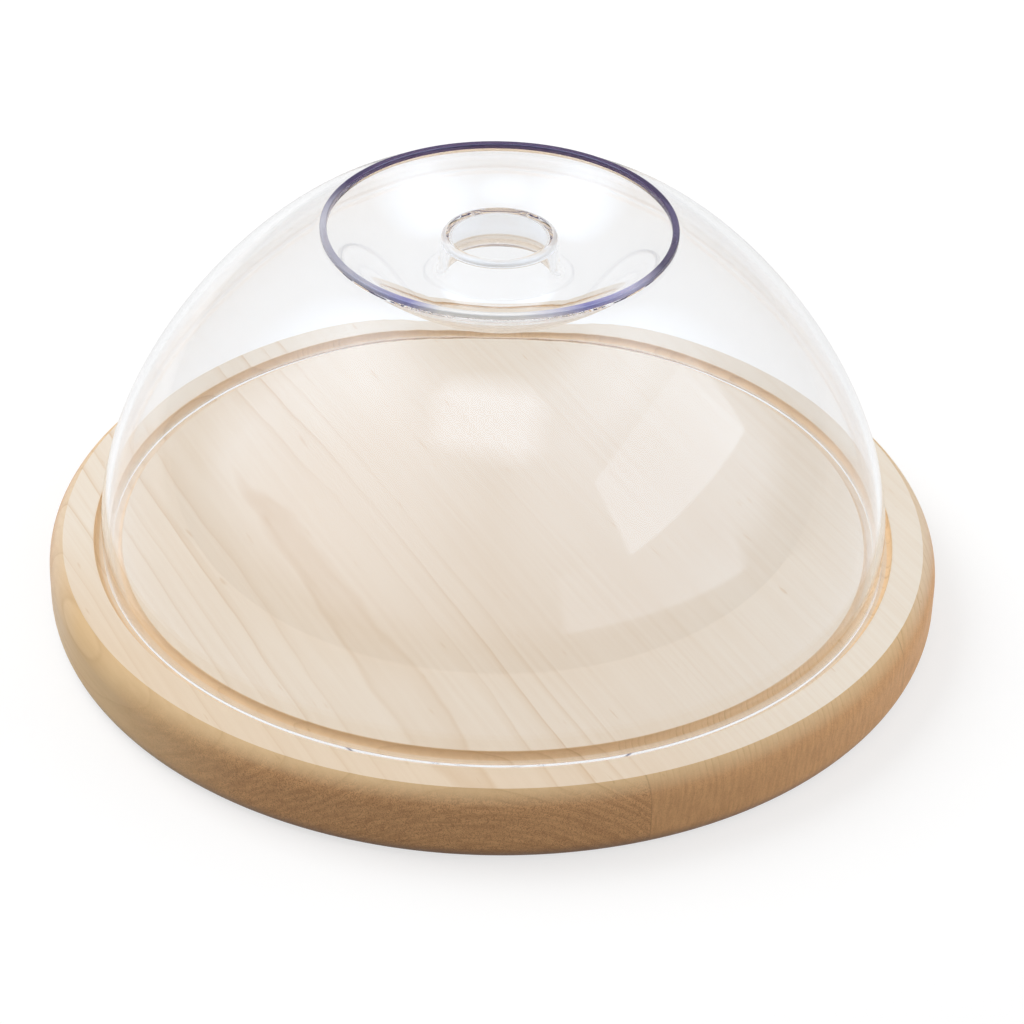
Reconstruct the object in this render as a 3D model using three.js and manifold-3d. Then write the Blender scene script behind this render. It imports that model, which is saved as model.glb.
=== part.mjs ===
// Covered serving board: a round maple board, edge-glued from three staves, with a ring groove in
// its top, and a clear dome moulded in one piece that stands in the groove. The dome's crown is sunk
// into a dish, with a hollow knob in the middle, and the whole dome lifts straight off by that knob.
// Millimetres, +Z up, origin at the centre of the board's underside. The grain runs along Y.
import * as THREE from "three";
import { mergeVertices } from "three/addons/utils/BufferGeometryUtils.js";
import Module from "manifold-3d";

// Board
const BOARD_DIAMETER = 309.5;
const BOARD_THICKNESS = 25.4;

// Rounded side: one radius, and how far its two arcs reach down from the top and up from the underside
const SIDE_RADIUS = 10.7;
const TOP_ROUND_HEIGHT = 9.0;
const BASE_ROUND_HEIGHT = 7.4;

// Staves: the first glue joint's place across the grain, and the width up to the second one
const FIRST_JOINT_X = -20;
const MIDDLE_STAVE_WIDTH = 112;

// Groove, from the board's edge inwards
const RIM_WIDTH = 15.8;
const GROOVE_WIDTH = 9.1;
const GROOVE_DEPTH = 2.6;
const GROOVE_CORNER_RADIUS = 2.0;

// Dome, heights counted from its foot and depths from the top of its lip. Its wall stands upright at
// the foot, and the two reaches say how long it keeps that direction and the crown's slope.
const DOME_HEIGHT = 121.2;
const DOME_WALL = 2.6;
const FOOT_CLEARANCE = 2.7;
const FOOT_EDGE_RADIUS = 0.3;
const UPRIGHT_HEIGHT = 7.8;
const UPRIGHT_REACH = 47.8;
const CROWN_SLOPE = THREE.MathUtils.degToRad(13);
const CROWN_REACH = 25.5;

// Lip round the sunk crown
const LIP_DIAMETER = 119.2;
const LIP_WIDTH = 2.4;
const LIP_HEIGHT = 1.3;
const LIP_EDGE_RADIUS = 0.6;

// Dish and knob inside the lip
const DISH_DEPTH = 20.6;
const DISH_SLOPE = THREE.MathUtils.degToRad(20);
const DISH_ROLL = 12.0;
const DISH_FLOOR_RUN = 10.5;
const KNOB_DIAMETER = 39.0;
const KNOB_SINK = 3.5;
const KNOB_DRAFT = THREE.MathUtils.degToRad(2);
const KNOB_FLARE = 7.5;
const KNOB_EDGE_RADIUS = 1.8;
const KNOB_CEILING_RADIUS = 1.2;

// Facets round the axis, and along each curve of a profile
const BOARD_SEGMENTS = 96;
const DOME_SEGMENTS = 60;
const WALL_STEPS = 14;
const DISH_STEPS = 6;
const FLARE_STEPS = 3;
const EDGE_STEPS = 2;
const COVE_STEPS = 3;
const ROUND_STEPS = 4;

// Sizes that follow
const BOARD_RADIUS = BOARD_DIAMETER / 2;
const TOP_ROUND_ANGLE = THREE.MathUtils.radToDeg(Math.asin(TOP_ROUND_HEIGHT / SIDE_RADIUS));
const BASE_ROUND_ANGLE = THREE.MathUtils.radToDeg(Math.asin(BASE_ROUND_HEIGHT / SIDE_RADIUS));
const GROOVE_OUTER = BOARD_RADIUS - RIM_WIDTH;
const GROOVE_INNER = GROOVE_OUTER - GROOVE_WIDTH;
const GROOVE_FLOOR = BOARD_THICKNESS - GROOVE_DEPTH;
const FOOT_OUTER = GROOVE_OUTER - FOOT_CLEARANCE;
const FOOT_INNER = FOOT_OUTER - DOME_WALL;
const LIP_OUTER = LIP_DIAMETER / 2;
const LIP_INNER = LIP_OUTER - LIP_WIDTH;
const RIDGE_RADIUS = (LIP_OUTER + LIP_INNER) / 2;
const RIDGE_HEIGHT = DOME_HEIGHT - LIP_HEIGHT;
const OUTER_LIP_ROOT = RIDGE_HEIGHT - (LIP_WIDTH / 2) * Math.tan(CROWN_SLOPE);
const INNER_LIP_ROOT = RIDGE_HEIGHT - (LIP_WIDTH / 2) * Math.tan(DISH_SLOPE);
const DISH_FLOOR = DOME_HEIGHT - DISH_DEPTH;
const KNOB_TOP = DOME_HEIGHT - KNOB_SINK;
const KNOB_CEILING = KNOB_TOP - DOME_WALL;
const FLARE_TOP = DISH_FLOOR + KNOB_FLARE;

const wasm = await Module();
wasm.setup();

const point = (radius, height) => new THREE.Vector2(radius, height);

// Point at a distance from another, along a direction given as an angle above the outward radius.
const along = (from, angle, distance) =>
  point(from.x + distance * Math.cos(angle), from.y + distance * Math.sin(angle));

// Round edge of a profile, from one angle to another about its centre.
function edge(centreRadius, centreHeight, radius, fromAngle, toAngle, steps) {
  const points = [];
  for (let i = 0; i <= steps; i++) {
    const angle = THREE.MathUtils.degToRad(fromAngle + ((toAngle - fromAngle) * i) / steps);
    points.push(along(point(centreRadius, centreHeight), angle, radius));
  }
  return points;
}

// Solid of revolution about Z: its profile starts and ends on the axis and runs anticlockwise.
function turned(profile, segments) {
  return new THREE.LatheGeometry(profile, segments).rotateX(Math.PI / 2);
}

function toSolid(geometry) {
  const bare = geometry.clone().deleteAttribute("normal").deleteAttribute("uv");
  const merged = mergeVertices(bare, 1e-4);
  return new wasm.Manifold(
    new wasm.Mesh({
      numProp: 3,
      vertProperties: merged.getAttribute("position").array,
      triVerts: new Uint32Array(merged.index.array),
    }),
  );
}

function toGeometry(solid) {
  const mesh = solid.getMesh();
  const geometry = new THREE.BufferGeometry();
  geometry.setAttribute("position", new THREE.BufferAttribute(mesh.vertProperties, mesh.numProp));
  geometry.setIndex(new THREE.BufferAttribute(mesh.triVerts, 1));
  geometry.computeVertexNormals();
  return geometry;
}

// The whole turned board: a rounded side that meets the flat top and underside in crisp edges, and a
// flat-bottomed groove with coved corners.
function boardGeometry() {
  const cove = GROOVE_CORNER_RADIUS;
  const coveHeight = GROOVE_FLOOR + cove;
  const sideCentre = BOARD_RADIUS - SIDE_RADIUS;
  const topRound = BOARD_THICKNESS - TOP_ROUND_HEIGHT;
  return turned(
    [
      point(0, 0),
      ...edge(sideCentre, BASE_ROUND_HEIGHT, SIDE_RADIUS, -BASE_ROUND_ANGLE, 0, ROUND_STEPS),
      ...edge(sideCentre, topRound, SIDE_RADIUS, 0, TOP_ROUND_ANGLE, ROUND_STEPS),
      point(GROOVE_OUTER, BOARD_THICKNESS),
      ...edge(GROOVE_OUTER - cove, coveHeight, cove, 0, -90, COVE_STEPS),
      ...edge(GROOVE_INNER + cove, coveHeight, cove, -90, -180, COVE_STEPS),
      point(GROOVE_INNER, BOARD_THICKNESS),
      point(0, BOARD_THICKNESS),
    ],
    BOARD_SEGMENTS,
  );
}

// One stave: the strip of the board between two glue joints.
function stave(board, fromX, toX) {
  const depth = BOARD_DIAMETER + 2 * RIM_WIDTH;
  const height = 3 * BOARD_THICKNESS;
  const strip = new THREE.BoxGeometry(toX - fromX, depth, height).translate((fromX + toX) / 2, 0, 0);
  return toGeometry(board.intersect(toSolid(strip)));
}

// Points along a curve, moved sideways by an offset to the right of its direction.
function sampled(curve, steps, offset = 0) {
  const points = [];
  for (let i = 0; i <= steps; i++) {
    const tangent = curve.getTangent(i / steps);
    points.push(curve.getPoint(i / steps).add(point(tangent.y, -tangent.x).multiplyScalar(offset)));
  }
  return points;
}

// The dome's outer face as curves, from the upright foot to the ridge under the lip and down to the knob.
function domeCurves() {
  const upright = point(FOOT_OUTER, UPRIGHT_HEIGHT);
  const ridge = point(RIDGE_RADIUS, RIDGE_HEIGHT);
  const sideTop = point(KNOB_DIAMETER / 2, KNOB_TOP);
  const sideFoot = point(sideTop.x + (KNOB_TOP - FLARE_TOP) * Math.tan(KNOB_DRAFT), FLARE_TOP);
  const flareFoot = point(sideFoot.x + KNOB_FLARE, DISH_FLOOR);

  return {
    wall: new THREE.CubicBezierCurve(
      upright,
      along(upright, Math.PI / 2, UPRIGHT_REACH),
      along(ridge, -CROWN_SLOPE, CROWN_REACH),
      ridge,
    ),
    dish: new THREE.CubicBezierCurve(
      ridge,
      along(ridge, Math.PI + DISH_SLOPE, DISH_ROLL),
      point(flareFoot.x + DISH_FLOOR_RUN, DISH_FLOOR),
      flareFoot,
    ),
    flare: new THREE.QuadraticBezierCurve(flareFoot, point(sideFoot.x, DISH_FLOOR), sideFoot),
  };
}

// The moulded dome: one even wall from the foot to the knob's top, with the lip standing on its ridge.
function domeGeometry() {
  const { wall, dish, flare } = domeCurves();
  const outsideLip = (p) => p.x > LIP_OUTER;
  const insideLip = (p) => p.x < LIP_INNER;
  const outsideRidge = (p) => p.x > RIDGE_RADIUS;
  const insideRidge = (p) => p.x < RIDGE_RADIUS;
  const lipEdge = DOME_HEIGHT - LIP_EDGE_RADIUS;
  const crease = point(RIDGE_RADIUS, RIDGE_HEIGHT - DOME_WALL / Math.cos(DISH_SLOPE));
  const boreRadius = KNOB_DIAMETER / 2 - DOME_WALL;

  const outer = [
    ...edge(FOOT_OUTER - FOOT_EDGE_RADIUS, FOOT_EDGE_RADIUS, FOOT_EDGE_RADIUS, -90, 0, EDGE_STEPS),
    ...sampled(wall, WALL_STEPS).filter(outsideLip),
    point(LIP_OUTER, OUTER_LIP_ROOT),
    ...edge(LIP_OUTER - LIP_EDGE_RADIUS, lipEdge, LIP_EDGE_RADIUS, 0, 90, EDGE_STEPS),
    ...edge(LIP_INNER + LIP_EDGE_RADIUS, lipEdge, LIP_EDGE_RADIUS, 90, 180, EDGE_STEPS),
    point(LIP_INNER, INNER_LIP_ROOT),
    ...sampled(dish, DISH_STEPS).filter(insideLip),
    ...sampled(flare, FLARE_STEPS).slice(1),
    ...edge(
      KNOB_DIAMETER / 2 - KNOB_EDGE_RADIUS,
      KNOB_TOP - KNOB_EDGE_RADIUS,
      KNOB_EDGE_RADIUS,
      0,
      90,
      COVE_STEPS,
    ),
    point(0, KNOB_TOP),
  ];

  const inner = [
    ...edge(FOOT_INNER + FOOT_EDGE_RADIUS, FOOT_EDGE_RADIUS, FOOT_EDGE_RADIUS, -90, -180, EDGE_STEPS),
    ...sampled(wall, WALL_STEPS, -DOME_WALL).filter(outsideRidge),
    crease,
    ...sampled(dish, DISH_STEPS, -DOME_WALL).filter(insideRidge),
    ...sampled(flare, FLARE_STEPS, -DOME_WALL).slice(1),
    ...edge(
      boreRadius - KNOB_CEILING_RADIUS,
      KNOB_CEILING - KNOB_CEILING_RADIUS,
      KNOB_CEILING_RADIUS,
      0,
      90,
      EDGE_STEPS,
    ),
    point(0, KNOB_CEILING),
  ];

  return turned([...inner.reverse(), ...outer], DOME_SEGMENTS);
}

function maple(colour) {
  return new THREE.MeshStandardMaterial({ color: colour, roughness: 0.55, metalness: 0 });
}

function clearAcrylic() {
  return new THREE.MeshStandardMaterial({
    color: 0xf3f4f7,
    roughness: 0.06,
    metalness: 0,
    transparent: true,
    opacity: 0.3,
  });
}

function named(name, geometry, material) {
  const mesh = new THREE.Mesh(geometry, material);
  mesh.name = name;
  return mesh;
}

const board = toSolid(boardGeometry());
const secondJointX = FIRST_JOINT_X + MIDDLE_STAVE_WIDTH;
const staves = new THREE.Group();
staves.add(
  named("left_stave", stave(board, -BOARD_DIAMETER, FIRST_JOINT_X), maple(0xe6d2b4)),
  named("middle_stave", stave(board, FIRST_JOINT_X, secondJointX), maple(0xecdcc4)),
  named("right_stave", stave(board, secondJointX, BOARD_DIAMETER), maple(0xe9d7bb)),
);

// The dome's foot stands on the groove's floor.
const cover = new THREE.Group();
cover.position.z = GROOVE_FLOOR;
cover.add(named("dome", domeGeometry(), clearAcrylic()));

const servingBoard = new THREE.Group();
servingBoard.add(staves, cover);

export default servingBoard;
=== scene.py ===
import math
from collections import namedtuple

import bpy
from mathutils import Matrix, Vector
from mathutils.geometry import interpolate_bezier


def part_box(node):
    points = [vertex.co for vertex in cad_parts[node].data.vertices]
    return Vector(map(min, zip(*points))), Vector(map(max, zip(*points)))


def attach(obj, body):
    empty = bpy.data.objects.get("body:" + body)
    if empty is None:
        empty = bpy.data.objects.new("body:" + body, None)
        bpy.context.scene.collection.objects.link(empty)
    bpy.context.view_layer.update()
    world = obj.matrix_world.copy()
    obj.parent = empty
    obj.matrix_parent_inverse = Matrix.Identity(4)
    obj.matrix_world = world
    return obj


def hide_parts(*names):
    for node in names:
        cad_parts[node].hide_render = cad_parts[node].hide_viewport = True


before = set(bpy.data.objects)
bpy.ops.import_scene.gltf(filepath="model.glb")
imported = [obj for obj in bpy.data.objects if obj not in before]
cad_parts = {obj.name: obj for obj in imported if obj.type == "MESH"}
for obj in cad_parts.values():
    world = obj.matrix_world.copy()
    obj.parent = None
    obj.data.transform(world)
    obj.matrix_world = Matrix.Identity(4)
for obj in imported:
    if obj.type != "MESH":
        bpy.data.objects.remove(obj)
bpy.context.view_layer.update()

MM = 0.001

# Sizes that the frame gives, in metres. The turned board stays a hair inside the CAD box
left_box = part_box("left_stave")
middle_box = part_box("middle_stave")
dome_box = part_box("dome")
HAIR = 0.001 * MM
BOARD_RADIUS = -left_box[0].x - HAIR
BOARD_TOP = middle_box[1].z
FIRST_JOINT = left_box[1].x
SECOND_JOINT = middle_box[1].x
GROOVE_FLOOR = dome_box[0].z
DOME_TOP = dome_box[1].z
FOOT_OUTER = dome_box[1].x

# Board: its rounded side, and the groove from the edge inwards
BOARD_SIDES = 240
BOARD_SMOOTH_ANGLE = 25
SIDE_RADIUS = 10.7 * MM
TOP_ROUND = 9.0 * MM
BASE_ROUND = 7.4 * MM
RIM_WIDTH = 15.8 * MM
GROOVE_WIDTH = 9.1 * MM
GROOVE_COVE = 2.0 * MM
GROOVE_EASE = 0.35 * MM
GROOVE_OUTER = BOARD_RADIUS - RIM_WIDTH
GROOVE_INNER = GROOVE_OUTER - GROOVE_WIDTH

# Dome, with heights above the foot and depths below the lip's top
DOME_SIDES = 240
DOME_SMOOTH_ANGLE = 32
DOME_WALL = 2.6 * MM
FOOT_EDGE = 0.12 * MM
FOOT_GAP = 0.06 * MM
UPRIGHT_HEIGHT = 7.8 * MM
UPRIGHT_REACH = 47.8 * MM
CROWN_SLOPE = math.radians(13)
CROWN_REACH = 25.5 * MM
LIP_OUTER = 59.6 * MM
LIP_WIDTH = 2.4 * MM
LIP_HEIGHT = 1.3 * MM
LIP_EDGE = 0.5 * MM
DISH_DEPTH = 20.6 * MM
DISH_SLOPE = math.radians(20)
DISH_ROLL = 12.0 * MM
DISH_FLOOR_RUN = 10.5 * MM
KNOB_RADIUS = 19.5 * MM
KNOB_SINK = 3.5 * MM
KNOB_DRAFT = math.radians(2)
KNOB_FLARE = 7.5 * MM
KNOB_EDGE = 1.8 * MM
KNOB_CEILING_EDGE = 1.2 * MM
FINISH_MARGIN = 0.1 * MM

# Points along each curve of an outline
ROUND_POINTS = 13
WALL_POINTS = 45
DISH_POINTS = 21
FLARE_POINTS = 11
EDGE_POINTS = 5
MERGE_DISTANCE = 0.01 * MM

# Camera, as seen from the middle of the board's top
CAMERA_HEADING = math.radians(-27)
CAMERA_RISE = math.radians(33.88)
CAMERA_DISTANCE = 1.183975
CAMERA_ROLL = math.radians(1.18)
AIM_RIGHT = math.radians(0.308)
AIM_UP = math.radians(0.174)
FOCAL_PIXELS = 3381.263
PICTURE_PIXELS = 1024
SENSOR = 36.0

# Light: the even fill, the panels, and how far light is followed inside the acrylic
FILL_LIGHT = 0.48
BACK_PANEL = dict(azimuth=150, rise=46, distance=1.9, width=1.46, height=1.46, radiance=3.9)
RIGHT_PANEL = dict(azimuth=6, rise=18, distance=2.2, width=3.2, height=1.2, radiance=1.9)
PATH_LENGTH = 64

# The studio that shows in gloss: the room by height from the floor to overhead, and the softboxes, each
# with its azimuth, rise and roll, half its width and height, the softness of its edge, and its glow
GLOSS_LIGHT = 4.6
GLOSS_TONE = (0.8, 1.0, 1.25, 1)
ROOM_GLOW = (
    (0.0, 0.03), (0.13, 0.09), (0.26, 0.36), (0.38, 0.46), (0.5, 0.54), (0.6, 0.66), (0.71, 0.78),
    (0.79, 0.95), (0.9, 0.85), (0.97, 0.25), (1.0, 0.12),
)
ROOM_AHEAD = 0.58
ROOM_RIGHT = 0.75
SOFTBOXES = (
    ((-17, 35, -5, 27, 10, 0.08), 0.98),
    ((-41, 18, -5, 29, 8.5, 0.1), 0.5),
    ((-96, 61, 0, 22, 11, 0.5), 1.2),
)
BACKDROP_GLOW = (0.12, 0.12, 0.12, 1)
BACKDROP_SPAN = (0.1, 0.5)

# Floor: paper white near the board, plain white further off, and dimmer behind the board in gloss
FLOOR_SIZE = 24
FLOOR_WHITE = 0.38
FLOOR_LIFT = 0.64
PLAIN_WHITE_SPAN = (0.9, 1.8)
GLOSS_FLOOR_DIM = 0.4
GLOSS_FLOOR_SPAN = (0, 0.2)

# Maple, on the sanded top, on the turned sides, in the groove and where the grain ends. Some of these
# colours paint light: the palest tone is painted sheen and reflection, the groove's tone is painted bounce
# light, and the side's line colour also paints shade in the groove
WARM_MAPLE = (0.79, 0.645, 0.49, 1)
PALE_MAPLE = (0.79, 0.685, 0.57, 1)
# The palest tone: painted sheen on the rim and a painted whitish reflection near the groove
PAINTED_SHEEN_MAPLE = (0.84, 0.76, 0.655, 1)
TAN_LINE = (0.63, 0.43, 0.25, 1)
SIDE_MAPLE = (0.74, 0.51, 0.27, 1)
# Grain lines on the turned side, also used for painted shade at the top of the groove's walls
SIDE_LINE_AND_SHADE = (0.47, 0.275, 0.12, 1)
# Painted bounce light: a lighter, more orange tone for the groove
PAINTED_BOUNCE_MAPLE = (0.86, 0.62, 0.38, 1)
END_MAPLE = (0.71, 0.395, 0.18, 1)
END_DARK = (0.40, 0.195, 0.08, 1)
LOW_SHADE = (0.16, 0.075, 0.035, 1)
LOW_SHADE_HEIGHT = 5 * MM
GLUE_LINE = (0.20, 0.10, 0.04, 1)
GLUE_SPAN = (0.1 * MM, 0.35 * MM)

# Where the maple's tones change: across the board; towards the groove, a painted whitish reflection;
# round the rim, a painted sheen; and on the flanks, painted light where the lamps light them most
PALE_SPAN = (-0.08, 0.06)
REFLECTION_NEAR_GROOVE_SPAN = (0.07, 0.105)
SHEEN_WAY = (0.766, 0.732, 0)
SHEEN_SPAN = (-0.125, -0.055)
LIT_FLANK_WAY = (0.891, -0.454, 0)
LIT_FLANK_SPAN = (0.138, 0.1545)

# Patterns in the maple, drawn out along the grain. A stretch below 1 makes a pattern longer
TRUNK_WANDER = dict(scale=14, detail=4, roughness=0.45, stretch=(1, 0.35, 1))
WANDER_REACH = 9 * MM
RING_LINE = ((0.0, 0.0), (0.7, 0.08), (0.9, 0.5), (0.95, 1.0), (1.0, 0.0))
RING_FADE = dict(scale=12, detail=1, roughness=0.5, stretch=(1, 0.4, 1))
FIBRES = dict(scale=520, detail=3, roughness=0.6, stretch=(1, 0.018, 1))
FLECKS = dict(scale=460, detail=1, roughness=0.5, stretch=(1, 0.16, 1))
CLOUDS = dict(scale=13, detail=3, roughness=0.5, stretch=(1, 0.45, 1))
END_LAYERS = dict(scale=800, detail=3, roughness=0.6)
END_LAYER_LENGTH = 0.12
END_SPECKS = dict(scale=1150, detail=1, roughness=0.5, stretch=(1, 1, 0.8), wiggle=2.5)

# The staves: CAD node, glue joints left and right, slot, and how each grew. Growth is the pith's place
# across and up, the gap between rings, how strong their lines are, and how speckled the end grain is
STAVES = (
    ("left_stave", None, FIRST_JOINT, "maple_flat_sawn", (-0.069, -0.035), 0.0046, 1.0, 0.8),
    ("middle_stave", FIRST_JOINT, SECOND_JOINT, "maple_quarter_sawn", (0.34, -0.04), 0.0022, 0.12, 0.3),
    ("right_stave", SECOND_JOINT, None, "maple_rift_sawn", (0.24, -0.09), 0.003, 0.15, 0.3),
)
STAVE_SHIFT = Vector((0.37, 0.71, 0.13))

# Acrylic: the clear wall, the knob's milky edge, and the lip's colours round the dome, from the left by
# way of the front. The lip's colours are its violet tint with painted light: a painted reflection and
# painted shade
ACRYLIC_IOR = 1.49
MOULD_RIPPLE = dict(scale=22, detail=1, roughness=0.4)
CLEAR_TINT = (0.955, 0.963, 0.975, 1)
MILKY_TINT = (0.97, 0.97, 0.98, 1)
# Lip colours by angle: the acrylic's violet, with painted light: white at the front is a painted
# reflection, near black round the right and back is painted shade
LIP_TINT_AND_PAINTED_LIGHT = (
    (0.0, (0.50, 0.50, 0.60, 1)),
    (0.12, (0.50, 0.52, 0.66, 1)),
    (0.17, (0.28, 0.28, 0.62, 1)),
    (0.20, (1.0, 1.0, 1.0, 1)),
    (0.27, (1.0, 1.0, 1.0, 1)),
    (0.30, (0.74, 0.74, 0.90, 1)),
    (0.33, (0.26, 0.26, 0.62, 1)),
    (0.38, (0.56, 0.56, 0.82, 1)),
    (0.43, (0.08, 0.07, 0.15, 1)),
    (0.60, (0.045, 0.025, 0.12, 1)),
    (0.92, (0.05, 0.03, 0.14, 1)),
    (1.0, (0.50, 0.50, 0.60, 1)),
)
WHITE = (1, 1, 1, 1)


# Modelling by hand

def start_piece(name):
    """Names the primitive that was just added, and puts its place into its mesh."""
    piece = bpy.context.object
    piece.name = name
    piece.data.name = name
    bpy.ops.object.transform_apply(location=True, rotation=True, scale=True)
    return piece


def outline_point(radius, height):
    return Vector((radius, 0, height))


def along(start, angle, distance):
    """The outline point at a distance from another, at an angle above the outward radius."""
    return start + distance * outline_point(math.cos(angle), math.sin(angle))


def round_edge(radius, height, size, from_angle, to_angle, count=EDGE_POINTS):
    """A rounded corner of an outline, about its centre."""
    angles = [from_angle + (to_angle - from_angle) * i / (count - 1) for i in range(count)]
    return [along(outline_point(radius, height), math.radians(a), size) for a in angles]


def spin_outline(name, outline, sides):
    """Draws an outline point by point, and spins it round the axis."""
    bpy.ops.object.select_all(action="DESELECT")
    bpy.ops.mesh.primitive_plane_add(size=MM, location=outline[0])
    piece = start_piece(name)
    bpy.ops.object.mode_set(mode="EDIT")
    bpy.ops.mesh.select_mode(type="VERT")
    bpy.ops.mesh.select_all(action="SELECT")
    bpy.ops.mesh.merge(type="CENTER")
    for here, there in zip(outline, outline[1:]):
        bpy.ops.mesh.extrude_region_move(TRANSFORM_OT_translate={"value": there - here})
    bpy.ops.mesh.select_all(action="SELECT")
    bpy.ops.mesh.spin(steps=sides, angle=math.tau, center=(0, 0, 0), axis=(0, 0, 1))
    bpy.ops.mesh.select_all(action="SELECT")
    bpy.ops.mesh.remove_doubles(threshold=MERGE_DISTANCE)
    bpy.ops.mesh.normals_make_consistent(inside=False)
    bpy.ops.object.mode_set(mode="OBJECT")
    return piece


def board_outline():
    """The board's whole section: underside, rounded side, rim, coved groove and the top inside it."""
    side = BOARD_RADIUS - SIDE_RADIUS
    base_angle = math.degrees(math.asin(BASE_ROUND / SIDE_RADIUS))
    top_angle = math.degrees(math.asin(TOP_ROUND / SIDE_RADIUS))
    cove_height = GROOVE_FLOOR + GROOVE_COVE
    ease_height = BOARD_TOP - GROOVE_EASE
    outline = [outline_point(0, 0)]
    outline += round_edge(side, BASE_ROUND, SIDE_RADIUS, -base_angle, 0, ROUND_POINTS)
    outline += round_edge(side, BOARD_TOP - TOP_ROUND, SIDE_RADIUS, 0, top_angle, ROUND_POINTS)
    outline += round_edge(GROOVE_OUTER + GROOVE_EASE, ease_height, GROOVE_EASE, 90, 180)
    outline += round_edge(GROOVE_OUTER - GROOVE_COVE, cove_height, GROOVE_COVE, 0, -90)
    outline += round_edge(GROOVE_INNER + GROOVE_COVE, cove_height, GROOVE_COVE, -90, -180)
    outline += round_edge(GROOVE_INNER - GROOVE_EASE, ease_height, GROOVE_EASE, 0, 90)
    outline += [outline_point(0, BOARD_TOP)]
    return outline


def saw(piece, at_x, keep_right):
    """Cuts the piece along the grain at one place and keeps one side, with a closed cut face."""
    bpy.ops.object.mode_set(mode="EDIT")
    bpy.ops.mesh.select_all(action="SELECT")
    bpy.ops.mesh.bisect(
        plane_co=(at_x, 0, 0),
        plane_no=(1, 0, 0),
        use_fill=True,
        clear_inner=keep_right,
        clear_outer=not keep_right,
    )
    bpy.ops.object.mode_set(mode="OBJECT")


def finish_shading(piece, angle):
    """Smooth faces, with flat ones kept flat up to their edges."""
    bpy.ops.object.select_all(action="DESELECT")
    piece.select_set(True)
    bpy.context.view_layer.objects.active = piece
    bpy.ops.object.shade_smooth_by_angle(angle=math.radians(angle))
    bpy.ops.object.modifier_add(type="WEIGHTED_NORMAL")
    piece.modifiers[-1].keep_sharp = True
    bpy.ops.object.modifier_apply(modifier=piece.modifiers[-1].name)


def stave(name, left, right):
    """One stave of the turned board, sawn at its glue joints."""
    piece = spin_outline(name, board_outline(), BOARD_SIDES)
    if left is not None:
        saw(piece, left, keep_right=True)
    if right is not None:
        saw(piece, right, keep_right=False)
    finish_shading(piece, BOARD_SMOOTH_ANGLE)
    return piece


def as_cubic(start, corner, end):
    """The four points of a cubic curve that leaves and arrives along the two sides of a corner."""
    return start, start.lerp(corner, 2 / 3), end.lerp(corner, 2 / 3), end


def sampled(curve, count, inwards=0.0):
    """Points along a cubic curve, moved square to it by a distance into the dome."""
    points = interpolate_bezier(*curve, count)
    moved = []
    for i, place in enumerate(points):
        before = points[max(i - 1, 0)]
        after = points[min(i + 1, count - 1)]
        way = (after - before).normalized()
        moved.append(place - inwards * outline_point(way.z, -way.x))
    return moved


def dome_curves():
    """The dome's outer face, from its upright foot to the ridge under the lip and down to the knob."""
    upright = outline_point(FOOT_OUTER, GROOVE_FLOOR + UPRIGHT_HEIGHT)
    ridge = outline_point(LIP_OUTER - LIP_WIDTH / 2, DOME_TOP - LIP_HEIGHT)
    dish_floor = DOME_TOP - DISH_DEPTH
    side_height = DISH_DEPTH - KNOB_SINK - KNOB_FLARE
    side_foot = outline_point(
        KNOB_RADIUS + side_height * math.tan(KNOB_DRAFT), dish_floor + KNOB_FLARE
    )
    flare_foot = outline_point(side_foot.x + KNOB_FLARE, dish_floor)
    return {
        "wall": (
            upright,
            along(upright, math.pi / 2, UPRIGHT_REACH),
            along(ridge, -CROWN_SLOPE, CROWN_REACH),
            ridge,
        ),
        "dish": (
            ridge,
            along(ridge, math.pi + DISH_SLOPE, DISH_ROLL),
            outline_point(flare_foot.x + DISH_FLOOR_RUN, dish_floor),
            flare_foot,
        ),
        "flare": as_cubic(flare_foot, outline_point(side_foot.x, dish_floor), side_foot),
    }


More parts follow.
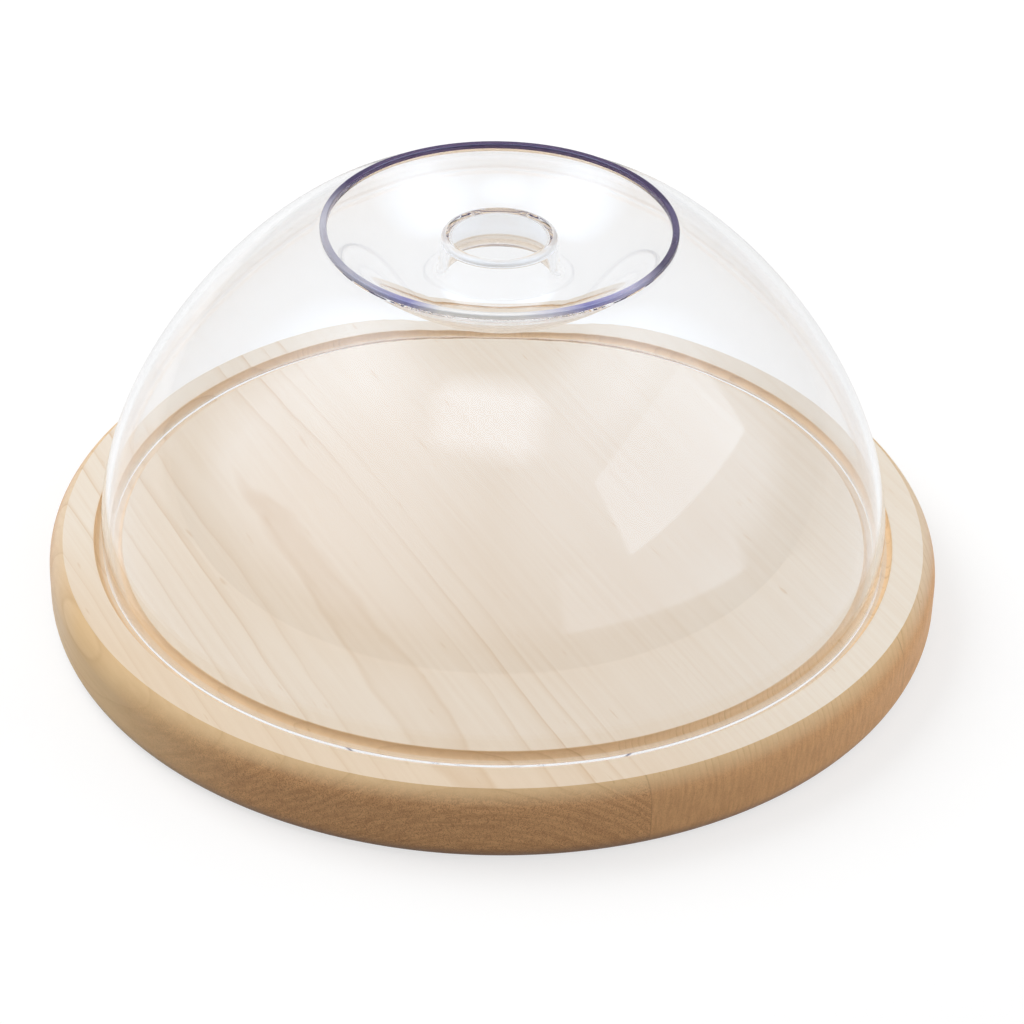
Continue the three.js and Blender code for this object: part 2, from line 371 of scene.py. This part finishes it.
def dome_outline():
    """The dome's whole section, from the middle of the knob's ceiling, down the inner face to the
    foot, and back up the outer face over the lip to the middle of the knob's top."""
    curves = dome_curves()
    lip_inner = LIP_OUTER - LIP_WIDTH
    ridge = curves["dish"][0]
    outer_lip_root = ridge.z - LIP_WIDTH / 2 * math.tan(CROWN_SLOPE)
    inner_lip_root = ridge.z - LIP_WIDTH / 2 * math.tan(DISH_SLOPE)
    knob_top = DOME_TOP - KNOB_SINK
    foot_inner = FOOT_OUTER - DOME_WALL
    foot_height = GROOVE_FLOOR + FOOT_GAP + FOOT_EDGE
    lip_height = DOME_TOP - LIP_EDGE

    outer = round_edge(FOOT_OUTER - FOOT_EDGE, foot_height, FOOT_EDGE, -90, 0)
    outer += [p for p in sampled(curves["wall"], WALL_POINTS) if p.x > LIP_OUTER]
    outer += [outline_point(LIP_OUTER, outer_lip_root)]
    outer += round_edge(LIP_OUTER - LIP_EDGE, lip_height, LIP_EDGE, 0, 90)
    outer += round_edge(lip_inner + LIP_EDGE, lip_height, LIP_EDGE, 90, 180)
    outer += [outline_point(lip_inner, inner_lip_root)]
    outer += [p for p in sampled(curves["dish"], DISH_POINTS) if p.x < lip_inner]
    outer += sampled(curves["flare"], FLARE_POINTS)[1:]
    outer += round_edge(KNOB_RADIUS - KNOB_EDGE, knob_top - KNOB_EDGE, KNOB_EDGE, 0, 90)
    outer += [outline_point(0, knob_top)]

    inner = round_edge(foot_inner + FOOT_EDGE, foot_height, FOOT_EDGE, -90, -180)
    inner += [p for p in sampled(curves["wall"], WALL_POINTS, DOME_WALL) if p.x > ridge.x]
    inner += [outline_point(ridge.x, ridge.z - DOME_WALL / math.cos(DISH_SLOPE))]
    inner += [p for p in sampled(curves["dish"], DISH_POINTS, DOME_WALL) if p.x < ridge.x]
    inner += sampled(curves["flare"], FLARE_POINTS, DOME_WALL)[1:]
    ceiling = knob_top - DOME_WALL
    ceiling_edge = KNOB_RADIUS - DOME_WALL - KNOB_CEILING_EDGE
    inner += round_edge(ceiling_edge, ceiling - KNOB_CEILING_EDGE, KNOB_CEILING_EDGE, 0, 90)
    inner += [outline_point(0, ceiling)]
    return inner[::-1] + outer


def on_ring(place, inner, outer, lowest):
    """Whether a place is on a ring round the axis, above a height."""
    radius = math.hypot(place.x, place.y)
    return inner - FINISH_MARGIN < radius < outer + FINISH_MARGIN and place.z > lowest


def dome_finish(place):
    """The number of the finish at a place on the dome: clear, the lip's or the knob's edge."""
    if on_ring(place, LIP_OUTER - LIP_WIDTH, LIP_OUTER, DOME_TOP - LIP_HEIGHT - LIP_WIDTH):
        return 1
    if on_ring(place, KNOB_RADIUS - KNOB_EDGE, KNOB_RADIUS, DOME_TOP - KNOB_SINK - KNOB_EDGE):
        return 2
    return 0


# Nodes

def new_finish(name):
    """An empty material and its node tree."""
    finish = bpy.data.materials.new(name)
    finish.use_nodes = True
    finish.node_tree.nodes.clear()
    return finish, finish.node_tree


def connect(tree, made, socket, value):
    """Links a socket to an input, or sets the input's value."""
    if isinstance(value, bpy.types.NodeSocket):
        tree.links.new(value, made.inputs[socket])
    else:
        made.inputs[socket].default_value = value


def add(tree, kind, inputs=None, **settings):
    """A node with its settings, its input values and its links."""
    made = tree.nodes.new("ShaderNode" + kind)
    for setting, value in settings.items():
        setattr(made, setting, value)
    for socket, value in (inputs or {}).items():
        connect(tree, made, socket, value)
    return made


def maths(tree, operation, *values):
    return add(tree, "Math", dict(enumerate(values)), operation=operation).outputs[0]


def dot(tree, first, second):
    return add(tree, "VectorMath", {0: first, 1: second}, operation="DOT_PRODUCT").outputs["Value"]


def length(tree, vector):
    return add(tree, "VectorMath", {0: vector}, operation="LENGTH").outputs["Value"]


def blend(tree, share, first, second, blend_type="MIX"):
    """Mixes two colours by a share."""
    made = add(tree, "Mix", data_type="RGBA", blend_type=blend_type)
    for socket, value in ((0, share), (6, first), (7, second)):
        connect(tree, made, socket, value)
    return made.outputs[2]


def fade(tree, value, start, end, from_share=0.0, to_share=1.0):
    """Goes evenly from one share to another while a value goes from its start to its end."""
    spans = {"From Min": start, "From Max": end, "To Min": from_share, "To Max": to_share}
    return add(tree, "MapRange", {"Value": value, **spans}).outputs[0]


def noise(tree, place, scale, detail, roughness, stretch=(1, 1, 1), shift=(0, 0, 0), wiggle=0.0):
    """A noise pattern on the piece's own coordinates, drawn out along an axis by its stretch."""
    mapped = add(tree, "Mapping", {"Vector": place, "Location": shift, "Scale": stretch})
    pattern = {"Scale": scale, "Detail": detail, "Roughness": roughness, "Distortion": wiggle}
    return add(tree, "TexNoise", {"Vector": mapped.outputs[0], **pattern}).outputs["Fac"]


def ramp(tree, value, stops):
    """A colour ramp, from pairs of a position and a grey or a colour."""
    made = add(tree, "ValToRGB", {"Fac": value})
    scale = made.color_ramp
    while len(scale.elements) < len(stops):
        scale.elements.new(0.5)
    for element, (position, colour) in zip(scale.elements, stops):
        element.position = position
        element.color = colour if isinstance(colour, tuple) else (colour, colour, colour, 1)
    return made.outputs["Color"]


# Maple

Spot = namedtuple("Spot", "place across height radius outside groove side end")


def spot_on_board(tree):
    """Where a point of the board is: its place, and shares that tell the outside of the groove, the groove,
    the turned faces and the ends of the grain from the rest."""
    coordinates = add(tree, "TexCoord")
    place = coordinates.outputs["Object"]
    facing = add(tree, "SeparateXYZ", {"Vector": coordinates.outputs["Normal"]}).outputs
    axes = add(tree, "SeparateXYZ", {"Vector": place}).outputs
    flat_place = add(tree, "VectorMath", {0: place, 1: (1, 1, 0)}, operation="MULTIPLY").outputs[0]
    radius = length(tree, flat_place)
    outside = fade(tree, radius, GROOVE_OUTER, GROOVE_OUTER + MM)
    inside = maths(tree, "SUBTRACT", 1.0, outside)
    sunk = fade(tree, axes["Z"], BOARD_TOP, BOARD_TOP - GROOVE_EASE)
    groove = maths(tree, "MULTIPLY", sunk, inside)
    turned = fade(tree, facing["Z"], 0.996, 0.95)
    side = maths(tree, "MAXIMUM", turned, maths(tree, "MULTIPLY", groove, 0.4))
    endwise = fade(tree, maths(tree, "ABSOLUTE", facing["Y"]), 0.15, 0.55)
    upright = fade(tree, facing["Z"], 0.85, 0.4)
    end = maths(tree, "MULTIPLY", maths(tree, "MULTIPLY", endwise, upright), outside)
    return Spot(place, axes["X"], axes["Z"], radius, outside, groove, side, end)


def growth_rings(tree, place, pith, ring_gap, shift):
    """The distance from the pith, with the trunk's slow wander, and the lines of the rings along it."""
    from_pith = add(
        tree, "Mapping", {"Vector": place, "Location": (-pith[0], 0, -pith[1]), "Scale": (1, 0, 1)}
    )
    wander = noise(tree, place, shift=shift, **TRUNK_WANDER)
    distance = maths(tree, "MULTIPLY_ADD", wander, WANDER_REACH, length(tree, from_pith.outputs[0]))
    rings = maths(tree, "DIVIDE", distance, ring_gap)
    line = ramp(tree, maths(tree, "FRACT", rings), RING_LINE)
    year = add(tree, "TexWhiteNoise", {"W": maths(tree, "FLOOR", rings)}, noise_dimensions="1D")
    line = maths(tree, "MULTIPLY", line, fade(tree, year.outputs[0], 0, 1, 0.2, 1))
    come_and_go = noise(tree, place, shift=shift, **RING_FADE)
    return distance, maths(tree, "MULTIPLY", line, fade(tree, come_and_go, 0.35, 0.65, 0.35, 1))


def sanded_tone_with_painted_sheen(tree, spot):
    """The tone of the sanded top, which pales slowly across the board. Its paling towards the groove is a
    painted whitish reflection, and its paling on the rim, away from the rim's front, is a painted sheen."""
    tone = blend(tree, fade(tree, spot.across, *PALE_SPAN), WARM_MAPLE, PALE_MAPLE)
    # Painted sheen: the rim pales everywhere but at its front
    painted_sheen_share = fade(tree, dot(tree, spot.place, SHEEN_WAY), *SHEEN_SPAN)
    tone = blend(tree, maths(tree, "MULTIPLY", painted_sheen_share, spot.outside), tone, PAINTED_SHEEN_MAPLE)
    # Painted reflection: the top inside the groove pales towards it, where the dome's lower wall shows
    # whitish
    painted_reflection_near_groove = fade(tree, spot.radius, *REFLECTION_NEAR_GROOVE_SPAN, 0, 0.4)
    inside = maths(tree, "SUBTRACT", 1.0, spot.outside)
    return blend(tree, maths(tree, "MULTIPLY", painted_reflection_near_groove, inside), tone, PAINTED_SHEEN_MAPLE)


def turned_tone(tree, spot, sanded):
    """The tone of the turned faces: deep, paler on the flanks with painted light, lighter and more orange
    in the groove with painted bounce light, and deepest at the groove's edges with painted shade.
    """
    # Painted light: the turned side pales on the flanks to the left and right of the view, where the lamps
    # light it most
    flank = maths(tree, "ABSOLUTE", dot(tree, spot.place, LIT_FLANK_WAY))
    painted_flank_light = fade(tree, flank, *LIT_FLANK_SPAN, 0.22, 0.83)
    sanded_share = maths(tree, "MULTIPLY_ADD", spot.outside, -0.18, painted_flank_light)
    tone = blend(tree, sanded_share, SIDE_MAPLE, sanded)
    # Painted bounce light: the groove takes a lighter, more orange tone
    tone = blend(tree, spot.groove, tone, PAINTED_BOUNCE_MAPLE)
    # Painted shade: darker towards the top of the groove's walls
    edge = fade(tree, spot.height, GROOVE_FLOOR + GROOVE_EASE, BOARD_TOP, 0, 0.33)
    return blend(tree, maths(tree, "MULTIPLY", edge, spot.groove), tone, SIDE_LINE_AND_SHADE)


def end_grain(tree, spot, distance, specks, speck_share, shift):
    """The colour where the grain ends: thin layers along the rings, and fine wiggling specks."""
    around_pith = maths(tree, "ADD", spot.across, spot.height)
    around_pith = maths(tree, "MULTIPLY", around_pith, END_LAYER_LENGTH)
    layer_place = add(tree, "CombineXYZ", {"X": distance, "Y": around_pith}).outputs[0]
    layers = noise(tree, layer_place, shift=shift, **END_LAYERS)
    layer_share = fade(tree, layers, 0.4, 0.65, 0, 0.25 + 0.35 * speck_share)
    colour = blend(tree, layer_share, END_MAPLE, END_DARK)
    return blend(tree, fade(tree, specks, 0.5, 0.58, 0, speck_share), colour, END_DARK)


def glue_lines(tree, colour, spot, joints, turned_side):
    """Adds a thin dark line on the turned side at each glue joint."""
    for joint in joints:
        beside = maths(tree, "ABSOLUTE", maths(tree, "SUBTRACT", spot.across, joint))
        glue = fade(tree, beside, *GLUE_SPAN, 0.25, 0)
        colour = blend(tree, maths(tree, "MULTIPLY", glue, turned_side), colour, GLUE_LINE)
    return colour


def maple(name, pith, ring_gap, ring_share, speck_share, joints, shift):
    """Oiled maple, cut from a log whose pith runs along Y at one place across the board: pale where it
    is sanded flat, deeper on the turned sides, and brown and speckled where the grain ends. Its colour also
    holds painted light: sheen on the rim, a whitish reflection near the groove, light on the flanks, bounce
    light and shade in the groove, and shade at the foot of the side."""
    finish, tree = new_finish(name)
    spot = spot_on_board(tree)
    distance, ring = growth_rings(tree, spot.place, pith, ring_gap, shift)
    fibres = noise(tree, spot.place, shift=shift, **FIBRES)
    flecks = noise(tree, spot.place, shift=shift, **FLECKS)
    clouds = noise(tree, spot.place, shift=shift, **CLOUDS)
    specks = noise(tree, spot.place, shift=shift, **END_SPECKS)

    # The sanded top and the turned side, with their rings, fibres, flecks and clouds
    sanded = sanded_tone_with_painted_sheen(tree, spot)
    top_colour = blend(tree, maths(tree, "MULTIPLY", ring, ring_share), sanded, TAN_LINE)
    side_colour = turned_tone(tree, spot, sanded)
    side_colour = blend(tree, maths(tree, "MULTIPLY", ring, 0.8), side_colour, SIDE_LINE_AND_SHADE)
    for share in (
        fade(tree, fibres, 0.4, 0.75, 0, 0.16),
        fade(tree, flecks, 0.74, 0.8, 0, 0.4),
        fade(tree, clouds, 0.35, 0.75, 0, 0.16),
    ):
        top_colour = blend(tree, share, top_colour, TAN_LINE)
        side_colour = blend(tree, share, side_colour, SIDE_LINE_AND_SHADE)
    colour = blend(tree, spot.side, top_colour, side_colour)

    # The end grain, the shade at the foot of the side, and the glue lines
    end_colour = end_grain(tree, spot, distance, specks, speck_share, shift)
    colour = blend(tree, maths(tree, "MULTIPLY", spot.end, spot.side), colour, end_colour)
    turned_side = maths(tree, "MULTIPLY", spot.side, spot.outside)
    low = fade(tree, spot.height, 0, LOW_SHADE_HEIGHT, 0.85, 0)
    colour = blend(tree, maths(tree, "MULTIPLY", turned_side, low), colour, LOW_SHADE)
    colour = glue_lines(tree, colour, spot, joints, turned_side)

    relief = maths(tree, "MULTIPLY_ADD", specks, spot.end, fibres)
    bump = add(tree, "Bump", {"Strength": 0.08, "Distance": 0.2 * MM, "Height": relief})
    shader = add(
        tree,
        "BsdfPrincipled",
        {
            "Base Color": colour,
            "Roughness": fade(tree, fibres, 0.2, 0.8, 0.48, 0.6),
            "Normal": bump.outputs[0],
            "Specular IOR Level": 0.3,
        },
    )
    add(tree, "OutputMaterial", {"Surface": shader.outputs[0]})
    return finish


# Acrylic

def pass_lamps(tree, shader):
    """Ends an acrylic's tree: lamps and the board's own glow pass straight through the dome."""
    through = add(tree, "BsdfTransparent", {"Color": WHITE})
    path = add(tree, "LightPath").outputs
    lamp_rays = maths(tree, "MAXIMUM", path["Is Shadow Ray"], path["Is Diffuse Ray"])
    mixed = add(tree, "MixShader", {0: lamp_rays, 1: shader.outputs[0], 2: through.outputs[0]})
    add(tree, "OutputMaterial", {"Surface": mixed.outputs[0]})


def lip_tint_and_painted_light(tree, place):
    """The lip, where the acrylic is seen along its length and looks violet. Its colours are laid by angle
    from the camera's side and are partly painted light: white at the front is a painted reflection, and
    near black round the right and back is painted shade.
    """
    # Turned to the camera's heading, so the painted reflection and shade stay at the lip's front and back
    turned = add(tree, "Mapping", {"Vector": place, "Rotation": (0, 0, -CAMERA_HEADING)})
    around = add(tree, "TexGradient", {"Vector": turned.outputs[0]}, gradient_type="RADIAL")
    return ramp(tree, around.outputs["Fac"], LIP_TINT_AND_PAINTED_LIGHT)


def acrylic(name, tint, roughness, clearness):
    """Moulded acrylic with a faint unevenness. The tint is one colour, or a function that lays colours
    on the piece."""
    finish, tree = new_finish(name)
    place = add(tree, "TexCoord").outputs["Object"]
    ripple = noise(tree, place, **MOULD_RIPPLE)
    bump = add(tree, "Bump", {"Strength": 0.03, "Distance": MM, "Height": ripple})
    glass = add(
        tree,
        "BsdfPrincipled",
        {
            "Base Color": tint(tree, place) if callable(tint) else tint,
            "Roughness": roughness,
            "IOR": ACRYLIC_IOR,
            "Transmission Weight": clearness,
            "Normal": bump.outputs[0],
        },
    )
    pass_lamps(tree, glass)
    return finish


# Studio

def studio_way(azimuth, rise, roll=0):
    """Turns the world's axes to a direction of the studio, with azimuth -90 at the camera, 0 at its right
    and 90 behind the board. The columns point ahead, aside and above."""
    turn = Matrix.Rotation(math.radians(azimuth) + CAMERA_HEADING, 3, "Z")
    tilt = Matrix.Rotation(-math.radians(rise), 3, "Y")
    return turn @ tilt @ Matrix.Rotation(math.radians(roll), 3, "X")


RIGHTWARD = studio_way(0, 0).col[0]
BACKWARD = studio_way(90, 0).col[0]


def light_panel(name, azimuth, rise, distance, width, height, radiance):
    """A soft panel that faces the board. Radiance 1 is as bright as white paper."""
    data = bpy.data.lights.new(name, "AREA")
    data.shape = "RECTANGLE"
    data.size = width
    data.size_y = height
    data.energy = radiance * width * height * math.pi
    panel = bpy.data.objects.new(name, data)
    bpy.context.scene.collection.objects.link(panel)
    panel.location = distance * studio_way(azimuth, rise).col[0] + Vector((0, 0, BOARD_TOP))
    panel.rotation_euler = panel.location.to_track_quat("Z", "Y").to_euler()
    panel.visible_camera = False
    panel.visible_glossy = False
    panel.visible_transmission = False


def white_floor():
    """A plain floor that keeps the board's soft shadow, turns plain white further off, and is a little
    dimmer behind the board in the dome's gloss."""
    bpy.ops.object.select_all(action="DESELECT")
    bpy.ops.mesh.primitive_plane_add(size=FLOOR_SIZE, location=(0, 0, 0))
    floor = start_piece("floor")
    finish, tree = new_finish("white_floor")
    place = add(tree, "TexCoord").outputs["Object"]
    radius = length(tree, place)
    path = add(tree, "LightPath").outputs
    seen = maths(tree, "MAXIMUM", path["Is Camera Ray"], path["Is Glossy Ray"])
    seen = maths(tree, "MAXIMUM", seen, path["Is Transmission Ray"])
    glow = maths(tree, "MULTIPLY", seen, fade(tree, radius, *PLAIN_WHITE_SPAN, FLOOR_LIFT, 1))
    in_gloss = maths(tree, "GREATER_THAN", path["Is Glossy Ray"], path["Is Transmission Ray"])
    behind = fade(tree, dot(tree, place, BACKWARD), *GLOSS_FLOOR_SPAN, 0, GLOSS_FLOOR_DIM)
    dim = maths(tree, "SUBTRACT", 1.0, maths(tree, "MULTIPLY", behind, in_gloss))
    lift = add(tree, "Emission", {"Strength": maths(tree, "MULTIPLY", glow, dim)})
    shade = fade(tree, radius, *PLAIN_WHITE_SPAN, FLOOR_WHITE, 0)
    paper = add(tree, "BsdfDiffuse", {"Color": shade})
    both = add(tree, "AddShader", {0: paper.outputs[0], 1: lift.outputs[0]})
    add(tree, "OutputMaterial", {"Surface": both.outputs[0]})
    floor.data.materials.append(finish)


def softbox(tree, way, azimuth, rise, roll, half_width, half_height, edge):
    """The face of a softbox far off in the studio, as a mask over directions: 1 inside, with soft
    edges."""
    ahead, aside, above = studio_way(azimuth, rise, roll).transposed()
    depth = maths(tree, "MAXIMUM", dot(tree, way, ahead), 0.01)
    face = 1.0
    for direction, half in ((aside, half_width), (above, half_height)):
        reach = maths(tree, "DIVIDE", dot(tree, way, direction), depth)
        reach = maths(tree, "DIVIDE", reach, math.tan(math.radians(half)))
        inside = fade(tree, maths(tree, "ABSOLUTE", reach), 1 + edge, 1 - edge)
        face = maths(tree, "MULTIPLY", face, inside)
    return face


def studio_glow(tree, way):
    """What the dome's gloss sees of the studio: dim near the floor in front, brighter higher up and
    at the sides, an even backdrop behind, and softboxes at the right and above the camera."""
    height = add(tree, "SeparateXYZ", {"Vector": way}).outputs["Z"]
    rightward = dot(tree, way, RIGHTWARD)
    leftward = maths(tree, "MULTIPLY", rightward, -1)
    sideways = maths(tree, "MAXIMUM", maths(tree, "MULTIPLY", rightward, ROOM_RIGHT), leftward)
    room = ramp(tree, height, ROOM_GLOW)
    room = maths(tree, "MULTIPLY", room, maths(tree, "ADD", sideways, ROOM_AHEAD))
    for face, glow in SOFTBOXES:
        room = maths(tree, "MAXIMUM", room, maths(tree, "MULTIPLY", softbox(tree, way, *face), glow))
    room = blend(tree, 1.0, room, GLOSS_TONE, "MULTIPLY")
    behind = fade(tree, dot(tree, way, BACKWARD), *BACKDROP_SPAN)
    return blend(tree, behind, room, BACKDROP_GLOW)


def studio_world():
    """Even fill light, the studio in gloss, and plain white where the camera sees past the object."""
    world = bpy.data.worlds.new("studio")
    bpy.context.scene.world = world
    world.use_nodes = True
    tree = world.node_tree
    tree.nodes.clear()
    path = add(tree, "LightPath").outputs
    way = add(tree, "TexCoord").outputs["Generated"]
    fill = add(tree, "Background", {"Color": WHITE, "Strength": FILL_LIGHT}).outputs[0]
    gloss = add(tree, "Background", {"Color": studio_glow(tree, way), "Strength": GLOSS_LIGHT}).outputs[0]
    white = add(tree, "Background", {"Color": WHITE, "Strength": 1.0}).outputs[0]
    seen = maths(tree, "MAXIMUM", path["Is Camera Ray"], path["Is Transmission Ray"])
    light = add(tree, "MixShader", {0: path["Is Glossy Ray"], 1: fill, 2: gloss}).outputs[0]
    both = add(tree, "MixShader", {0: seen, 1: light, 2: white}).outputs[0]
    add(tree, "OutputWorld", {"Surface": both})


def turned_by(first, second, angle):
    """Turns two directions that are square to each other, the second towards the first."""
    return (
        math.cos(angle) * first - math.sin(angle) * second,
        math.sin(angle) * first + math.cos(angle) * second,
    )


def photo_camera():
    """The camera, from its heading, its rise and the small turns that frame the board."""
    ahead = Vector((0, math.cos(CAMERA_RISE), -math.sin(CAMERA_RISE)))
    place = Matrix.Translation(-ahead * CAMERA_DISTANCE)
    right = Vector((1, 0, 0))
    up = right.cross(ahead)
    right, ahead = turned_by(right, ahead, AIM_RIGHT)
    up, ahead = turned_by(up, ahead, AIM_UP)
    up, right = turned_by(up, right, CAMERA_ROLL)
    turn = Matrix((right, up, -ahead)).transposed().to_4x4()
    heading = Matrix.Translation((0, 0, BOARD_TOP)) @ Matrix.Rotation(CAMERA_HEADING, 4, "Z")
    data = bpy.data.cameras.new("camera")
    data.sensor_width = SENSOR
    data.lens = FOCAL_PIXELS / PICTURE_PIXELS * SENSOR
    camera = bpy.data.objects.new("camera", data)
    bpy.context.scene.collection.objects.link(camera)
    camera.matrix_world = heading @ place @ turn
    bpy.context.scene.camera = camera


photo_camera()
studio_world()
white_floor()
light_panel("back_panel", **BACK_PANEL)
light_panel("right_panel", **RIGHT_PANEL)

for number, (node, left, right, slot, *growth) in enumerate(STAVES):
    piece = stave(node + "_maple", left, right)
    joints = [joint for joint in (left, right) if joint is not None]
    piece.data.materials.append(maple(slot, *growth, joints, number * STAVE_SHIFT))
    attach(piece, "board")
    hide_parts(node)

dome = spin_outline("dome_acrylic", dome_outline(), DOME_SIDES)
finish_shading(dome, DOME_SMOOTH_ANGLE)
dome.data.materials.append(acrylic("clear_acrylic", CLEAR_TINT, roughness=0.0, clearness=1.0))
dome.data.materials.append(acrylic("lip_acrylic", lip_tint_and_painted_light, roughness=0.1, clearness=0.3))
dome.data.materials.append(acrylic("milky_acrylic", MILKY_TINT, roughness=0.08, clearness=0.45))
for face in dome.data.polygons:
    face.material_index = dome_finish(face.center)
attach(dome, "dome")
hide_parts("dome")

bpy.context.scene.view_settings.view_transform = "Standard"
paths = bpy.context.scene.cycles
paths.max_bounces = paths.glossy_bounces = paths.transmission_bounces = PATH_LENGTH
